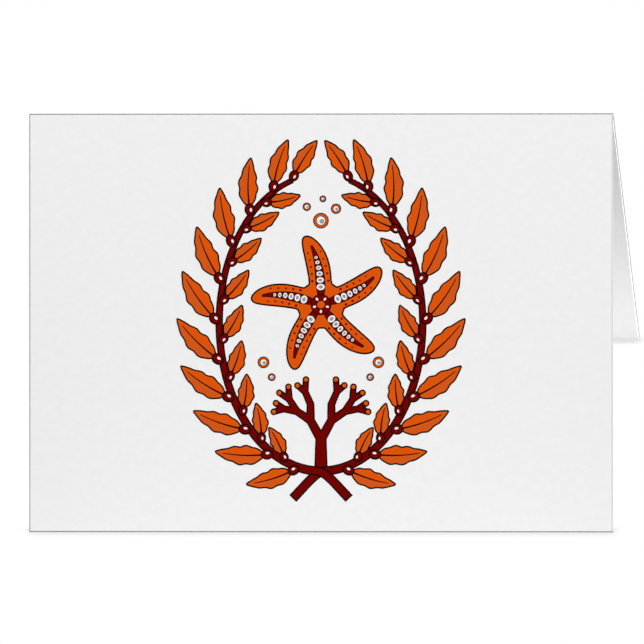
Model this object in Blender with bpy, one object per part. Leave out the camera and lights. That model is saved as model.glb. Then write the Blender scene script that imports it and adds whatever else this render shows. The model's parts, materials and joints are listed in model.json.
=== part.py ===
# A folded greeting card that stands open like a tent on the lower edges of its two leaves.
# Metres, +Z up. X runs along the fold, the front leaf faces -Y and the table is at Z = 0.

import math

import bmesh
import bpy

# Driving sizes
CARD_WIDTH = 0.1778               # along the fold
CARD_HEIGHT = 0.127               # of one leaf, from the outside of the fold to its foot
BOARD_THICKNESS = 0.00044
OPENING_ANGLE = math.radians(57.5)  # between the two leaves as the card stands
CREASE_RADIUS = 0.00034           # from the fold's axis to the middle of the board
CREASE_GAP = 0.0003               # between the leaves' upper ends when the card is opened flat
ARRIS_RADIUS = 0.00022            # where the board starts to bend over the fold
ARRIS_STEPS = 4

# Paper white, for both leaves
BOARD_COLOR = (0.85, 0.85, 0.845, 1.0)
BOARD_ROUGHNESS = 0.8

# Worked out from the driving sizes
LEAN = OPENING_ANGLE / 2          # of each leaf, from upright
INNER_FACE = CREASE_RADIUS - BOARD_THICKNESS / 2
OUTER_FACE = CREASE_RADIUS + BOARD_THICKNESS / 2
LEAF_TOP = CREASE_GAP / 2         # below the axis, along the leaf
LEAF_FOOT = CARD_HEIGHT - OUTER_FACE
AXIS_HEIGHT = LEAF_FOOT * math.cos(LEAN) - INNER_FACE * math.sin(LEAN)


def clear_scene():
    for obj in list(bpy.data.objects):
        bpy.data.objects.remove(obj, do_unlink=True)


def board_material(name):
    material = bpy.data.materials.new(name)
    material.use_nodes = True
    shader = material.node_tree.nodes["Principled BSDF"]
    shader.inputs["Base Color"].default_value = BOARD_COLOR
    shader.inputs["Roughness"].default_value = BOARD_ROUGHNESS
    shader.inputs["Metallic"].default_value = 0.0
    return material


def leaf_profile():
    # The board's section as (outwards, downwards) distances from the fold's axis:
    # a straight strip whose outer arris is rounded where it meets the fold.
    points = [(INNER_FACE, LEAF_TOP), (INNER_FACE, LEAF_FOOT), (OUTER_FACE, LEAF_FOOT)]
    center_out = OUTER_FACE - ARRIS_RADIUS
    center_down = LEAF_TOP + ARRIS_RADIUS
    for step in range(ARRIS_STEPS + 1):
        turn = math.pi / 2 * step / ARRIS_STEPS
        points.append((center_out + ARRIS_RADIUS * math.cos(turn),
                       center_down - ARRIS_RADIUS * math.sin(turn)))
    return points


def leaf_mesh(name):
    # The section stands at one end of the fold and is extruded along it.
    # Outwards is -Y in the leaf's own frame, whose origin is on the fold's axis.
    mesh = bpy.data.meshes.new(name)
    model = bmesh.new()
    section = [model.verts.new((-CARD_WIDTH / 2, -outwards, -downwards))
               for outwards, downwards in leaf_profile()]
    end_face = model.faces.new(section)
    extruded = bmesh.ops.extrude_face_region(model, geom=[end_face])["geom"]
    far_end = [item for item in extruded if isinstance(item, bmesh.types.BMVert)]
    bmesh.ops.translate(model, verts=far_end, vec=(CARD_WIDTH, 0, 0))
    bmesh.ops.recalc_face_normals(model, faces=model.faces)
    model.to_mesh(mesh)
    model.free()
    return mesh


def add_leaf(name, turn, fold_axis):
    # turn is about the vertical: 0 faces the leaf to -Y, half a turn faces it to +Y.
    leaf = bpy.data.objects.new(name, leaf_mesh(name))
    leaf.data.materials.append(board_material(name + "_board"))
    leaf.parent = fold_axis
    leaf.rotation_euler = (-LEAN, 0, turn)
    bpy.context.collection.objects.link(leaf)
    return leaf


def add_fold_axis():
    fold_axis = bpy.data.objects.new("fold_axis", None)
    fold_axis.location = (0, 0, AXIS_HEIGHT)
    fold_axis.empty_display_size = CARD_WIDTH / 4
    bpy.context.collection.objects.link(fold_axis)
    return fold_axis


def build_card():
    clear_scene()
    fold_axis = add_fold_axis()
    add_leaf("front_leaf", 0, fold_axis)
    add_leaf("back_leaf", math.pi, fold_axis)
    bpy.context.view_layer.update()
    print("fold axis height %.6f m" % AXIS_HEIGHT)


build_card()
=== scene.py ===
import json
import math
import random

import bpy
from mathutils import Matrix, Vector
from mathutils.geometry import delaunay_2d_cdt


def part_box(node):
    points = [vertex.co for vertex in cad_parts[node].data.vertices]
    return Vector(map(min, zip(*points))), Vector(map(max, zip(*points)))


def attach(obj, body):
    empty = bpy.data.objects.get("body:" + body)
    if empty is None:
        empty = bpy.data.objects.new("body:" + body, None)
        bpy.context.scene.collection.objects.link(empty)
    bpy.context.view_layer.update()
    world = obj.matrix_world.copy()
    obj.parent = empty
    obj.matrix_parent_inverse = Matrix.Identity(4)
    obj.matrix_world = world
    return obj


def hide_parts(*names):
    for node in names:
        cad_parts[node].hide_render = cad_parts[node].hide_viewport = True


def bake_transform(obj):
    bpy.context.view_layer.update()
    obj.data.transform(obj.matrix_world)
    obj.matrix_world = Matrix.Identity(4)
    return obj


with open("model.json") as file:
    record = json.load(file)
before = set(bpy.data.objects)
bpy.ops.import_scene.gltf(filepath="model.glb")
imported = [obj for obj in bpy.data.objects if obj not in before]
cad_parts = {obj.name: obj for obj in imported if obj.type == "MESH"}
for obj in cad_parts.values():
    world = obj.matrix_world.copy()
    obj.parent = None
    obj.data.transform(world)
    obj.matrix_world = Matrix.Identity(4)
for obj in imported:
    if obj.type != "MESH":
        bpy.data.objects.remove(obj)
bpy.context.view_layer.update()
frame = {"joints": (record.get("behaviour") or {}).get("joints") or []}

mm = 0.001

# the fold and the two leaves, as the frame has them
foldJoint = frame["joints"][0]
foldAxis = Vector(foldJoint["pos_m"])
opening = -math.radians(foldJoint["range_deg"][0])  # the card shuts by the angle it stands at
lean = opening / 2
leafLow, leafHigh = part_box("front_leaf")
cardWidth = leafHigh.x - leafLow.x
frontOut = Vector((0, -math.cos(lean), math.sin(lean)))  # square out of the printed side
frontUp = Vector((0, math.sin(lean), math.cos(lean)))  # up the front leaf, to the fold
backUp = Vector((0, -math.sin(lean), math.cos(lean)))

cardSheet = {
    "thickness": 0.44 * mm,
    "creaseRadius": 0.34 * mm,  # from the fold's axis to the middle of the board
    "creaseSteps": 24,
    "outerArris": 0.03 * mm,  # the cuts are crisp on the printed side
    "innerArris": 0.40 * mm,  # and rolled over on the inside, where the knife came out
    "arrisSteps": 4,
}
outerRadius = cardSheet["creaseRadius"] + cardSheet["thickness"] / 2
innerRadius = cardSheet["creaseRadius"] - cardSheet["thickness"] / 2
leafLength = (foldAxis.z + innerRadius * math.sin(lean)) / math.cos(lean)  # axis to foot
creaseTurn = math.pi - opening
creaseHalf = creaseTurn / 2 * cardSheet["creaseRadius"]
faceMiddle = foldAxis + frontOut * outerRadius - frontUp * (leafLength - outerRadius) / 2


class Wire:
    # one socket of a material's nodes; sums on wires add their own Math nodes
    def __init__(self, tree, socket=None):
        self.tree = tree
        self.socket = socket

    def node(self, kind, settings=None, values=None, output=0):
        made = self.tree.nodes.new(kind)
        for name, value in (settings or {}).items():
            setattr(made, name, value)
        for name, value in (values or {}).items():
            if isinstance(value, Wire):
                self.tree.links.new(value.socket, made.inputs[name])
            else:
                made.inputs[name].default_value = value
        return Wire(self.tree, made.outputs[output])

    def math(self, operation, other=0.0, first=None):
        pair = (self, other) if first is None else (first, self)
        return self.node("ShaderNodeMath", {"operation": operation}, dict(enumerate(pair)))

    def __add__(self, other):
        return self.math("ADD", other)

    def __radd__(self, other):
        return self.math("ADD", first=other)

    def __sub__(self, other):
        return self.math("SUBTRACT", other)

    def __rsub__(self, other):
        return self.math("SUBTRACT", first=other)

    def __mul__(self, other):
        return self.math("MULTIPLY", other)

    def __rmul__(self, other):
        return self.math("MULTIPLY", first=other)

    def __truediv__(self, other):
        return self.math("DIVIDE", other)

    def __rtruediv__(self, other):
        return self.math("DIVIDE", first=other)

    def clamped(self, low, high):
        return self.math("MAXIMUM", low).math("MINIMUM", high)

    def blend(self, colorAtZero, colorAtOne):
        # a colour between two, by this wire; 6, 7 and 2 are the Mix node's sockets for colours
        return self.node("ShaderNodeMix", {"data_type": "RGBA"},
                         {0: self, 6: colorAtZero, 7: colorAtOne}, output=2)

    def feed(self, socket):
        self.tree.links.new(self.socket, socket)


def newMaterial(name, roughness, specular):
    material = bpy.data.materials.new(name)
    material.use_nodes = True
    shader = material.node_tree.nodes["Principled BSDF"]
    shader.inputs["Metallic"].default_value = 0.0
    shader.inputs["Roughness"].default_value = roughness
    shader.inputs["Specular IOR Level"].default_value = specular
    return material, shader, Wire(material.node_tree)


def rgba(color, share=1.0):
    return (*[part * share for part in color], 1.0)


def grey(level):
    return rgba((level, level, level))


board = {
    # the white of each side, and the reach and strength of the painted shade lines along its edges: dark
    # lines at the cuts, the foot and the crease stand for the shade there, weaker on the right cut where more
    # light falls
    "boardOutside": {"white": 0.90, "edgeShadeGrey": 0.20, "left": (0.28 * mm, 1.0), "right": (0.50 * mm, 0.30),
                     "foot": (0.32 * mm, 1.0), "crease": (0.26 * mm, 1.0)},
    # painted shade: the inside's white is set lower than the outside's to darken the inside of the tent
    "boardInside": {"white": 0.80, "edgeShadeGrey": 0.20, "crease": (0.20 * mm, 0.3)},
    "boardCut": {"white": 0.88, "edgeShadeGrey": 0.03, "left": (0.20 * mm, 1.0), "right": (0.20 * mm, 1.0)},
    "fade": 0.06 * mm,  # of a line's rim
    "flecks": 0.86,  # how much of the white the deeper fibres keep
    "grain": 2600,  # of the fibres' tooth, in turns to the metre
    "grainDetail": 3.0,
    "grainRoughness": 0.6,
    "grainShare": 0.55,
    "cloud": 420,  # of the board's uneven, cloudy formation
    "cloudDetail": 2.0,
    "cloudShare": 0.45,
    "tooth": 0.012 * mm,
    "roughness": 0.8,
    "specular": 0.2,
}
outsideSlot, insideSlot, cutSlot = 0, 1, 2


def boardMaterial(name):
    side = board[name]
    material, shader, wire = newMaterial(name, board["roughness"], board["specular"])
    place = wire.node("ShaderNodeAttribute", {"attribute_name": "boardPlace"}, output="Vector")
    across = wire.node("ShaderNodeSeparateXYZ", {}, {"Vector": place}, output="X")
    along = wire.node("ShaderNodeSeparateXYZ", {}, {"Vector": place}, output="Y")
    fromCrease = along.math("ABSOLUTE")
    distances = {
        "left": across + cardWidth / 2,
        "right": cardWidth / 2 - across,
        "foot": creaseHalf + leafLength - fromCrease,
        "crease": fromCrease,
    }
    # painted shade: each edge's grey line darkens the board near that cut, foot or crease, in place of the
    # shade that falls there
    paintedShade = 0.0
    for edge, distance in distances.items():
        if edge in side:
            reach, strength = side[edge]
            line = ((reach - distance) / board["fade"]).clamped(0.0, 1.0)
            paintedShade = (line * strength).math("MAXIMUM", paintedShade)
    grain = wire.node("ShaderNodeTexNoise", {}, {"Vector": place, "Scale": board["grain"],
                                                 "Detail": board["grainDetail"],
                                                 "Roughness": board["grainRoughness"]})
    cloud = wire.node("ShaderNodeTexNoise", {}, {"Vector": place, "Scale": board["cloud"],
                                                 "Detail": board["cloudDetail"]})
    fibres = grain * board["grainShare"] + cloud * board["cloudShare"]
    white = fibres.blend(grey(side["white"] * board["flecks"]), grey(side["white"]))
    paintedShade.blend(white, grey(side["edgeShadeGrey"])).feed(shader.inputs["Base Color"])
    bump = wire.node("ShaderNodeBump", {}, {"Height": grain, "Distance": board["tooth"]})
    bump.feed(shader.inputs["Normal"])
    return material


def deselect():
    if bpy.context.object and bpy.context.object.mode != "OBJECT":
        bpy.ops.object.mode_set(mode="OBJECT")
    bpy.ops.object.select_all(action="DESELECT")


def only(piece):
    deselect()
    piece.select_set(True)
    bpy.context.view_layer.objects.active = piece


def applyAll(piece):
    only(piece)
    for modifier in list(piece.modifiers):
        bpy.ops.object.modifier_apply(modifier=modifier.name)


def selectEdges(mesh, chosen):
    # leaves only the chosen edges selected, in object mode
    for vertex in mesh.vertices:
        vertex.select = False
    for face in mesh.polygons:
        face.select = False
    for edge in mesh.edges:
        edge.select = chosen(edge)


def makeSheet():
    deselect()
    middle = foldAxis + frontOut * cardSheet["creaseRadius"] - frontUp * leafLength / 2
    bpy.ops.mesh.primitive_plane_add(size=1, location=middle, rotation=(math.pi / 2 - lean, 0, 0))
    sheet = bpy.context.object
    sheet.name = sheet.data.name = "cardSheet"
    sheet.scale = (cardWidth, leafLength, 1)
    bpy.ops.object.transform_apply(location=True, rotation=True, scale=True)
    foldCorners = {vertex.index for vertex in sheet.data.vertices if vertex.co.z > foldAxis.z}
    selectEdges(sheet.data, lambda edge: set(edge.vertices) <= foldCorners)
    bpy.ops.object.mode_set(mode="EDIT")
    bpy.ops.mesh.select_mode(type="EDGE")
    bpy.ops.mesh.spin(steps=cardSheet["creaseSteps"], angle=creaseTurn, center=foldAxis, axis=(1, 0, 0))
    bpy.ops.mesh.extrude_region_move(TRANSFORM_OT_translate={"value": -backUp * leafLength})
    bpy.ops.mesh.select_all(action="SELECT")
    bpy.ops.mesh.normals_make_consistent(inside=False)
    bpy.ops.object.mode_set(mode="OBJECT")
    frontFace = min(sheet.data.polygons, key=lambda face: face.center.y)
    if frontFace.normal.dot(frontOut) < 0:
        sheet.data.flip_normals()
    for name in ("boardOutside", "boardInside", "boardCut"):  # in the order of their slots
        sheet.data.materials.append(boardMaterial(name))
    solid = sheet.modifiers.new("boardThickness", "SOLIDIFY")
    solid.thickness = cardSheet["thickness"]
    solid.offset = 0
    solid.use_even_offset = True
    solid.material_offset = insideSlot
    solid.material_offset_rim = cutSlot
    applyAll(sheet)
    softenCut(sheet, outsideSlot, cardSheet["outerArris"], outsideSlot)
    softenCut(sheet, insideSlot, cardSheet["innerArris"], cutSlot)
    markPlaces(sheet)
    return sheet


def softenCut(sheet, side, reach, newSlot):
    # rounds the arris where the cuts meet one side of the board
    slotsAt = {}
    for face in sheet.data.polygons:
        for edge in face.edge_keys:
            slotsAt.setdefault(edge, set()).add(face.material_index)
    only(sheet)
    selectEdges(sheet.data, lambda edge: slotsAt[edge.key] == {side, cutSlot})
    bpy.ops.object.mode_set(mode="EDIT")
    bpy.ops.mesh.select_mode(type="EDGE")
    bpy.ops.mesh.bevel(offset=reach, segments=cardSheet["arrisSteps"], affect="EDGES", material=newSlot)
    bpy.ops.object.mode_set(mode="OBJECT")


def markPlaces(sheet):
    # gives each point its place on the flat, unfolded sheet, with the crease at 0
    places = sheet.data.attributes.new("boardPlace", "FLOAT_VECTOR", "POINT")
    for vertex in sheet.data.vertices:
        arm = vertex.co - foldAxis
        arm.x = 0
        frontDown, backDown = -arm.dot(frontUp), -arm.dot(backUp)
        if arm.y < 0 and frontDown > 0:
            along = -creaseHalf - frontDown
        elif arm.y > 0 and backDown > 0:
            along = creaseHalf + backDown
        else:
            along = math.atan2(arm.y, arm.z) * cardSheet["creaseRadius"]
        places.data[vertex.index].vector = (vertex.co.x, along, 0)


sheet = makeSheet()
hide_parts("front_leaf", "back_leaf")
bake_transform(sheet)
print("sheet made:", len(sheet.data.polygons), "faces")

# The print is laid out in millimetres from the middle of the front leaf, X to the right, Y up.
# The sides of its round shapes, by size:
largeSteps, roundSteps, smallSteps, dotSteps = 40, 24, 16, 12


def ellipse(middle, radiusX, radiusY, turn=0.0, steps=roundSteps):
    points = []
    for step in range(steps):
        angle = 2 * math.pi * step / steps
        points.append(Vector((radiusX * math.cos(angle), radiusY * math.sin(angle))))
    return moved(points, turn, middle)


def moved(outline, turn, shift):
    spin = Matrix.Rotation(turn, 2)
    return [spin @ point + Vector(shift) for point in outline]


def mirrored(outline):
    return [Vector((-point.x, point.y)) for point in reversed(outline)]


def toward(angle, length=1.0):
    return length * Vector((math.cos(angle), math.sin(angle)))


def heading(direction):
    return math.atan2(direction.y, direction.x)


def sideways(path, place):
    # the unit vector to the left of a path at one of its points
    before, after = path[max(place - 1, 0)], path[min(place + 1, len(path) - 1)]
    ahead = (after - before).normalized()
    return Vector((-ahead.y, ahead.x))


def ribbon(path, leftWidths, rightWidths):
    left = [point + sideways(path, place) * leftWidths[place] for place, point in enumerate(path)]
    right = [point - sideways(path, place) * rightWidths[place] for place, point in enumerate(path)]
    return right + list(reversed(left))


def limb(start, end, startRadius, endRadius, steps=7):
    # a tapering finger with round ends
    turn = heading(end - start)
    points = []
    for center, radius, first in ((end, endRadius, -math.pi / 2), (start, startRadius, math.pi / 2)):
        for step in range(steps + 1):
            points.append(center + toward(turn + first + math.pi * step / steps, radius))
    return points


def grown(outline, reach, sharpest=0.45, tiny=1e-6):
    # the outline pushed outwards by reach all round; points are cut off past the sharpest
    larger = []
    for place, point in enumerate(outline):
        before = (point - outline[place - 1]).normalized()
        after = (outline[(place + 1) % len(outline)] - point).normalized()
        middle = before + after
        if middle.length < tiny:
            middle = before
        middle.normalize()
        miter = max(middle.dot(before), sharpest)
        larger.append(point + Vector((middle.y, -middle.x)) * reach / miter)
    return larger


printed = []  # (ink, outline) pairs, each over those before it


def lay(ink, outline):
    printed.append((ink, outline))


def layLined(ink, outline, line):
    lay("black", grown(outline, line))
    lay(ink, outline)


def both(layOne, ink, outline, *line):
    layOne(ink, outline, *line)
    layOne(ink, mirrored(outline), *line)


bladeLength, bladeWidth = 15.5, 5.6

kelp = {
    "halfWidth": 31.0,
    "halfHeight": 45.0,
    "rootAngle": math.radians(-101),
    "tipAngle": math.radians(73),
    "rootFlare": 0.20,  # how far the crossed roots swing out
    "flareEnd": 0.075,  # and up to which part of the stem
    "rootHalfWidth": 1.05,
    "tipHalfWidth": 0.45,
    "stemSteps": 90,
    "line": 0.46,
    "pairs": 10,  # of an outer and an inner blade; the last inner one is left out
    "firstPair": 0.135,  # the part of the stem below the blades
    "pairSpan": 0.80,
    "innerStep": 0.5,  # how far an inner blade stands above its outer one, in spacings
    "lowSize": 0.80,  # of a blade at either end of the swell in their sizes, against a middle one
    "swellStart": 0.8,  # in pairs, how far below the lowest pair the swell begins
    "swellSpare": 0.4,  # by how many pairs it is longer than their row
    "tangentStep": 0.01,
    "outer": {"tilt": math.radians(-43), "length": bladeLength, "width": bladeWidth, "bend": 0.16},
    "inner": {"tilt": math.radians(42), "length": 10.0, "width": 0.78 * bladeWidth, "bend": -0.14},
    "last": {"tilt": math.radians(-38), "length": 0.72 * bladeLength, "width": 0.80 * bladeWidth,
             "bend": 0.10},
    "bladeSteps": 44,
    "belly": 0.72,  # under 1, the widest place is nearer to the foot
    "fullness": 0.85,
    "leastHalfWidth": 0.02,
    "ripple": 0.10,
    "ripples": 3.5,
    "rib": 0.28,
    "ribTaper": 0.18,
    "ribGap": 5,  # steps without a rib at the tip
    "float": 1.45,
    "floatLeast": 0.55,  # the share of a float's size that doesn't go with its blade's
    "floatPlace": 0.5,
    "bladePlace": (0.6, 1.9),  # the blade's foot, in millimetres and in floats
    "floatShape": (1.1, 0.85),
    "shinePlace": (0.35, 0.25),
    "shineShape": (0.42, 0.26),
}


def stemPoint(part):
    angle = kelp["rootAngle"] + part * (kelp["tipAngle"] - kelp["rootAngle"])
    flare = 1 + kelp["rootFlare"] * max(0.0, 1 - part / kelp["flareEnd"]) ** 2
    return Vector((kelp["halfWidth"] * math.cos(angle) * (flare * 2 - 1),
                   kelp["halfHeight"] * math.sin(angle) * flare))


def layStem():
    steps = kelp["stemSteps"]
    path = [stemPoint(step / steps) for step in range(steps + 1)]
    taper = kelp["tipHalfWidth"] - kelp["rootHalfWidth"]
    widths = [kelp["rootHalfWidth"] + taper * step / steps for step in range(steps + 1)]
    both(layLined, "maroon", ribbon(path, widths, widths), kelp["line"])


def layBlade(part, blade, size):
    # one kelp blade on its float, and its mirror image on the other stem
    foot = stemPoint(part)
    before, after = stemPoint(part - kelp["tangentStep"]), stemPoint(part + kelp["tangentStep"])
    turn = heading(after - before) + blade["tilt"]
    length = blade["length"] * size
    grow = kelp["floatLeast"] + (1 - kelp["floatLeast"]) * length / bladeLength
    floatSize = kelp["float"] * grow
    start = kelp["bladePlace"][0] + kelp["bladePlace"][1] * floatSize
    steps = kelp["bladeSteps"]
    path, left, right = [], [], []
    for step in range(steps + 1):
        t = step / steps
        path.append(Vector((start + length * t, blade["bend"] * length * t * t)))
        swell = blade["width"] * size / 2 * math.sin(math.pi * t ** kelp["belly"]) ** kelp["fullness"]
        wave = kelp["ripple"] * math.sin(2 * math.pi * kelp["ripples"] * t) * math.sin(math.pi * t)
        left.append(swell * (1 + wave) + kelp["leastHalfWidth"])
        right.append(swell * (1 - wave) + kelp["leastHalfWidth"])
    ribSteps = steps - kelp["ribGap"]
    rib = [kelp["rib"] - kelp["ribTaper"] * step / steps for step in range(ribSteps)]
    both(layLined, "flame", moved(ribbon(path, left, right), turn, foot), kelp["line"])
    both(lay, "rust", moved(ribbon(path, [0.0] * len(path), right), turn, foot))
    both(lay, "black", moved(ribbon(path[:ribSteps], rib, rib), turn, foot))
    bulb = ellipse((kelp["floatPlace"] + floatSize, 0), *[part * floatSize for part in kelp["floatShape"]])
    shinePlace = (kelp["shinePlace"][0] + floatSize, kelp["shinePlace"][1] * floatSize)
    shine = ellipse(shinePlace, *[part * floatSize for part in kelp["shineShape"]])
    both(layLined, "maroon", moved(bulb, turn, foot), kelp["line"])
    both(lay, "bare", moved(shine, turn, foot))


def layKelp():
    layStem()
    spacing = kelp["pairSpan"] / (kelp["pairs"] - 1)
    for place in range(kelp["pairs"]):
        part = kelp["firstPair"] + spacing * place
        swell = math.sin(math.pi * (place + kelp["swellStart"]) / (kelp["pairs"] + kelp["swellSpare"]))
        size = kelp["lowSize"] + (1 - kelp["lowSize"]) * swell
        layBlade(part, kelp["outer"], size)
        if place < kelp["pairs"] - 1:
            layBlade(part + kelp["innerStep"] * spacing, kelp["inner"], size)
    layBlade(1.0, kelp["last"], 1.0)


coral = {
    "root": Vector((0.0, -44.6)),
    "trunk": 9.2,
    "trunkRadius": 1.3,
    "rootFlare": 1.25,
    "firstFork": math.radians(29),
    "fork": math.radians(26),
    "forks": 3,
    "shrink": 0.80,  # of each limb's length on the one below
    "thin": 0.84,
    "tip": 0.62,
    "unevenLength": 0.16,
    "unevenFork": 0.15,
    "clearOfMiddle": 1.6,
    "line": 0.44,
    "seed": 18,
}


def coralLimbs(start, turn, length, radius, forks, chance, found, tips):
    # the limbs of the right half only; none of them leans over the middle
    length *= 1 + coral["unevenLength"] * (2 * chance.random() - 1)
    end = start + toward(turn, length)
    if end.x < coral["clearOfMiddle"]:
        return
    thinner = radius * coral["thin"]
    found.append(limb(start, end, radius, thinner))
    if forks == 0:
        tips.append(end)
        return
    for side in (-1, 1):
        swing = side * coral["fork"] * (1 + coral["unevenFork"] * (2 * chance.random() - 1))
        coralLimbs(end, turn + swing, length * coral["shrink"], thinner, forks - 1, chance, found, tips)


def layCoral():
    limbs, tips = [], []
    top = coral["root"] + Vector((0, coral["trunk"]))
    radius = coral["trunkRadius"]
    coralLimbs(top, math.pi / 2 - coral["firstFork"], coral["trunk"] * coral["shrink"],
               radius * coral["thin"], coral["forks"], random.Random(coral["seed"]), limbs, tips)
    limbs += [mirrored(outline) for outline in limbs]
    limbs.append(limb(coral["root"], top, radius * coral["rootFlare"], radius))
    for outline in limbs:
        lay("black", grown(outline, coral["line"]))
    for outline in limbs:
        lay("maroon", outline)
    for tip in tips:
        both(layLined, "flame", ellipse(tip, coral["tip"], coral["tip"], steps=smallSteps), coral["line"])


starfish = {
    "middle": Vector((0.0, 5.5)),
    "arms": 5,
    "reach": 21.0,
    "waist": 6.8,
    "sharpness": 2.1,
    "swirl": 0.22,
    "steps": 240,
    "line": 0.50,
    "groove": {"start": 2.5, "length": 15.5, "halfWidth": 1.75, "taper": 0.72, "steps": 20, "line": 0.24},
    "suckers": {"count": 6, "start": 5.4, "spacing": 2.15, "closing": 0.07, "size": 1.25, "shrink": 0.115,
                "flatness": 0.78, "line": 0.18, "core": (0.40, 0.55), "tangentStep": 0.1},
    "dots": {"count": 5, "start": 7.2, "spacing": 2.2, "aside": 2.45, "closing": 0.12,
             "size": 0.40, "shrink": 0.03},
    "disc": {"radius": 2.9, "eye": 1.15, "line": 0.3, "petals": 2.05, "petal": (0.5, 0.34)},
}


def armAngle(arm):
    return math.pi / 2 + arm * 2 * math.pi / starfish["arms"]


def swirl(along):
    return starfish["swirl"] * (along / starfish["reach"]) ** 2


def onArm(arm, along, aside=0.0):
    # a place on an arm: along it from the middle, and aside of its centre line
    direction = toward(armAngle(arm) + swirl(along))
    return starfish["middle"] + direction * along + Vector((-direction.y, direction.x)) * aside


def layGroove(arm):
    groove = starfish["groove"]
    steps = groove["steps"]
    path, widths = [], []
    for step in range(steps + 1):
        path.append(onArm(arm, groove["start"] + groove["length"] * step / steps))
        ends = math.sqrt(math.sin(math.pi * (step + 1) / (steps + 2)))
        widths.append(groove["halfWidth"] * (1 - groove["taper"] * step / steps) * ends)
    layLined("maroon", ribbon(path, widths, widths), groove["line"])


def laySuckers(arm):
    suckers = starfish["suckers"]
    for number in range(suckers["count"]):
        along = suckers["start"] + suckers["spacing"] * number - suckers["closing"] * number * number
        size = suckers["size"] * (1 - suckers["shrink"] * number)
        place = onArm(arm, along)
        turn = heading(onArm(arm, along + suckers["tangentStep"]) - place)
        deep, wide = size * suckers["flatness"], size
        lay("black", ellipse(place, deep + suckers["line"], wide + suckers["line"], turn))
        lay("bare", ellipse(place, deep, wide, turn))
        lay("grey", ellipse(place, *[part * size for part in suckers["core"]], turn, steps=smallSteps))


def layDots(arm):
    dots = starfish["dots"]
    for side in (-1, 1):
        for number in range(dots["count"]):
            aside = side * (dots["aside"] - dots["closing"] * number)
            size = dots["size"] - dots["shrink"] * number
            place = onArm(arm, dots["start"] + dots["spacing"] * number, aside)
            lay("maroon", ellipse(place, size, size, steps=dotSteps))


def layDisc():
    disc = starfish["disc"]
    rim = ellipse(starfish["middle"], disc["radius"], disc["radius"], steps=largeSteps)
    layLined("maroon", rim, disc["line"])
    layLined("flame", ellipse(starfish["middle"], disc["eye"], disc["eye"]), disc["line"])
    for petal in range(starfish["arms"]):
        turn = armAngle(petal + 0.5)
        place = starfish["middle"] + toward(turn, disc["petals"])
        lay("bare", ellipse(place, *disc["petal"], turn, steps=smallSteps))


def layStarfish():
    outline = []
    for step in range(starfish["steps"]):
        angle = 2 * math.pi * step / starfish["steps"]
        bulge = (0.5 + 0.5 * math.cos(starfish["arms"] * angle)) ** starfish["sharpness"]
        radius = starfish["waist"] + (starfish["reach"] - starfish["waist"]) * bulge
        outline.append(starfish["middle"] + toward(math.pi / 2 + angle + swirl(radius), radius))
    layLined("flame", outline, starfish["line"])
    for arm in range(starfish["arms"]):
        layGroove(arm)
    for arm in range(starfish["arms"]):
        laySuckers(arm)
        layDots(arm)
    layDisc()


bubbles = {
    "placesAndRadii": ((0.0, 31.0, 2.1), (4.6, 34.6, 1.3), (-4.3, 35.2, 1.0), (0.6, 37.6, 0.75),
                       (17.5, -12.0, 1.5), (-17.5, -12.0, 1.5), (15.0, -16.5, 0.9), (-15.0, -16.5, 0.9)),
    "line": 0.3,
    "innerLine": 0.2,
    "hollow": 0.62,
    "core": 0.34,
    "coreAside": Vector((0.14, -0.10)),
}


def layBubbles():
    for x, y, radius in bubbles["placesAndRadii"]:
        place = Vector((x, y))
        for ink, size in (("black", radius + bubbles["line"]), ("flame", radius),
                          ("black", radius * bubbles["hollow"] + bubbles["innerLine"]),
                          ("bare", radius * bubbles["hollow"])):
            lay(ink, ellipse(place, size, size))
        core = radius * bubbles["core"]
        lay("grey", ellipse(place + radius * bubbles["coreAside"], core, core, steps=smallSteps))


layCoral()
layKelp()
layStarfish()
layBubbles()
print("print laid out:", len(printed), "outlines")

inks = {
    "black": {"color": (0.010, 0.002, 0.0018), "slot": "black_ink"},
    "flame": {"color": (0.700, 0.087, 0.003), "slot": "orange_ink"},
    "rust": {"color": (0.624, 0.091, 0.009), "slot": "rust_ink"},
    "maroon": {"color": (0.156, 0.001, 0.0003), "slot": "maroon_ink"},
    "grey": {"color": (0.32, 0.30, 0.29), "slot": "grey_ink"},
}
inkSkin = {
    "height": 0.02 * mm,  # over the board
    "depth": 0.03 * mm,  # into the board
    "roughness": 0.7,
    "specular": 0.01,
    "thinnest": 0.8,  # how much of the colour is left where the ink is thin
    "mottling": 0.12,
    "weldReach": 1e-5,  # corners of the print that are this near, in millimetres, are one
}


def inkMaterial(name):
    color = inks[name]["color"]
    material, shader, wire = newMaterial(name + "Ink", inkSkin["roughness"], inkSkin["specular"])
    place = wire.node("ShaderNodeTexCoord", output="Object")
    tooth = wire.node("ShaderNodeTexNoise", {}, {"Vector": place, "Scale": board["grain"],
                                                 "Detail": board["grainDetail"]})
    mottled = (tooth * inkSkin["mottling"]).blend(rgba(color), rgba(color, inkSkin["thinnest"]))
    mottled.feed(shader.inputs["Base Color"])
    bump = wire.node("ShaderNodeBump", {}, {"Height": tooth, "Distance": board["tooth"]})
    bump.feed(shader.inputs["Normal"])
    return material


def separate():
    # cuts the print into patches that don't overlap, and sorts them by the ink on top
    points, loops = [], []
    for name, outline in printed:
        loops.append(list(range(len(points), len(points) + len(outline))))
        points += outline
    insideOnly = 1  # no patch outside the outlines
    places, _, patches, _, _, sources = delaunay_2d_cdt(points, [], loops, insideOnly, inkSkin["weldReach"])
    byInk = {}
    for patch, source in zip(patches, sources):
        if source:
            byInk.setdefault(printed[max(source)][0], []).append(patch)
    return places, byInk


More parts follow.
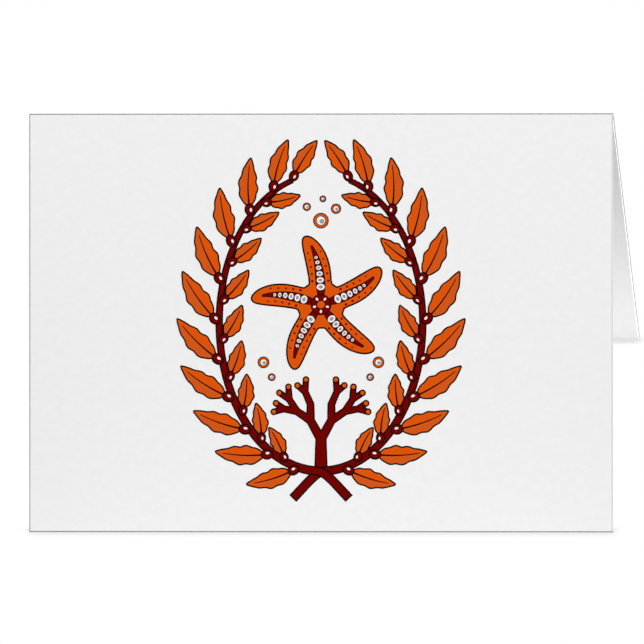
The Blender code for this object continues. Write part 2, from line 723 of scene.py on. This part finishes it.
def makePrint(name, places, patches, onLeaf):
    used = sorted({corner for patch in patches for corner in patch})
    numbers = {corner: number for number, corner in enumerate(used)}
    corners = [(places[corner].x * mm, places[corner].y * mm, inkSkin["height"]) for corner in used]
    mesh = bpy.data.meshes.new(name + "Print")
    mesh.from_pydata(corners, [], [[numbers[corner] for corner in patch] for patch in patches])
    piece = bpy.data.objects.new(name + "Print", mesh)
    bpy.context.collection.objects.link(piece)
    piece.data.materials.append(inkMaterial(name))
    skin = piece.modifiers.new("inkSkin", "SOLIDIFY")
    skin.thickness = inkSkin["height"] + inkSkin["depth"]
    skin.offset = -1
    applyAll(piece)
    piece.matrix_world = onLeaf
    bpy.ops.object.transform_apply(location=True, rotation=True, scale=True)
    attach(piece, "front")
    print(name, "print:", len(mesh.polygons), "faces")


def makePrints():
    places, byInk = separate()
    turn = Matrix(((1, 0, 0), frontUp, frontOut)).transposed().to_4x4()
    for name in inks:
        makePrint(name, places, byInk[name], Matrix.Translation(faceMiddle) @ turn)


makePrints()


studio = {
    "white": 1.0,  # what the camera sees of the table and behind it
    "skyStrength": 0.10,
    "floorSize": 30.0,
    "floorColor": 0.2,  # for the light it throws back on the card
    "floorRoughness": 0.6,
    "glow": 1.27,  # what the card gets from the table, most of all from right under it
    "near": {"glow": 0.53, "middle": (0.0, 0.12, 0.0), "reach": (0.20, 0.42, 1.0), "fade": 2.2},
    "under": {"glow": 1.0, "middle": (0.0, 0.015, 0.0), "reach": (0.20, 0.08, 1.0), "fade": 2.2},
    "farGlow": 0.08,
    "contactReach": 3.5 * mm,
    "contactSamples": 8,
    "contactShade": 0.75,
    "contactLimit": 0.77,  # the least that is left of the white
    "lamps": {
        "keyLamp": {"place": (-0.05, -0.70, 1.25), "size": 0.55, "power": 17.5},
        "backLamp": {"place": (0.10, 0.60, 0.85), "size": 0.45, "power": 6.2},
        "rimLamp": {"place": (0.90, 0.0, 0.12), "size": 0.10, "power": 19.0},
    },
    "lens": 1400,
    "distance": 7.599,
    "azimuth": math.radians(5.699),
    "elevation": math.radians(28.704),
    "roll": math.radians(-2.749),
    "aim": (0.317 * mm, 0.242 * mm),  # right of and above the middle of the front leaf
}


def lightPool(wire, pool):
    # 1 in the middle of an oval on the floor, fading to 0 at its rim
    place = wire.node("ShaderNodeTexCoord", output="Object")
    place = wire.node("ShaderNodeMapping", {"vector_type": "TEXTURE"},
                      {"Vector": place, "Location": pool["middle"], "Scale": pool["reach"]})
    fall = wire.node("ShaderNodeTexGradient", {"gradient_type": "SPHERICAL"}, {"Vector": place}, output="Fac")
    return (fall * pool["fade"]).math("MINIMUM", 1.0)


def seenOrLit(wire, white, light):
    # the camera sees plain white where the card gets the studio's light
    seen = wire.node("ShaderNodeLightPath", output="Is Camera Ray")
    return light + seen * (white - light), seen


def makeFloor():
    deselect()
    bpy.ops.mesh.primitive_plane_add(size=studio["floorSize"])
    floor = bpy.context.object
    floor.name = "studioFloor"
    material, shader, wire = newMaterial("whiteTable", studio["floorRoughness"], 0.0)
    shader.inputs["Emission Strength"].default_value = 1.0
    near, under = studio["near"], studio["under"]
    glow = studio["farGlow"] + lightPool(wire, near) * (near["glow"] - studio["farGlow"])
    glow = (glow + lightPool(wire, under) * (under["glow"] - near["glow"])) * studio["glow"]
    # painted contact shadow: the white the camera sees is darkened near the card by ambient occlusion
    unshaded = wire.node("ShaderNodeAmbientOcclusion", {"samples": studio["contactSamples"]},
                         {"Distance": studio["contactReach"]}, output="AO")
    contact = 1 - (1 - unshaded) * studio["contactShade"]
    white = contact.math("MAXIMUM", studio["contactLimit"]) * studio["white"]
    shown, seen = seenOrLit(wire, white, glow)
    shown.feed(shader.inputs["Emission Color"])
    ((1 - seen) * studio["floorColor"]).feed(shader.inputs["Base Color"])
    floor.data.materials.append(material)


def makeLights():
    world = bpy.data.worlds.new("studioWorld")
    world.use_nodes = True
    sky, _ = seenOrLit(Wire(world.node_tree), studio["white"], studio["skyStrength"])
    sky.feed(world.node_tree.nodes["Background"].inputs["Color"])
    bpy.context.scene.world = world
    for name, settings in studio["lamps"].items():
        deselect()
        bpy.ops.object.light_add(type="AREA", location=settings["place"])
        lamp = bpy.context.object
        lamp.name = name
        lamp.data.size = settings["size"]
        lamp.data.energy = settings["power"]
        lamp.visible_camera = False
        lamp.rotation_euler = (lamp.location - foldAxis / 2).to_track_quat("Z", "Y").to_euler()


def makeCamera():
    deselect()
    bpy.ops.object.camera_add()
    camera = bpy.context.object
    camera.name = "studioCamera"
    camera.data.lens = studio["lens"]
    azimuth, elevation, roll = studio["azimuth"], studio["elevation"], studio["roll"]
    toCamera = Vector((math.sin(azimuth) * math.cos(elevation), -math.cos(azimuth) * math.cos(elevation),
                       math.sin(elevation)))
    level = Vector((math.cos(azimuth), math.sin(azimuth), 0))
    right = level * math.cos(roll) + toCamera.cross(level) * math.sin(roll)
    aim = faceMiddle + Vector((studio["aim"][0], 0, 0)) + frontUp * studio["aim"][1]
    turn = Matrix((right, toCamera.cross(right), toCamera)).transposed().to_4x4()
    camera.matrix_world = Matrix.Translation(aim + toCamera * studio["distance"]) @ turn
    bpy.context.scene.camera = camera


makeFloor()
makeLights()
makeCamera()
bpy.context.scene.view_settings.view_transform = "Standard"
print("studio set")
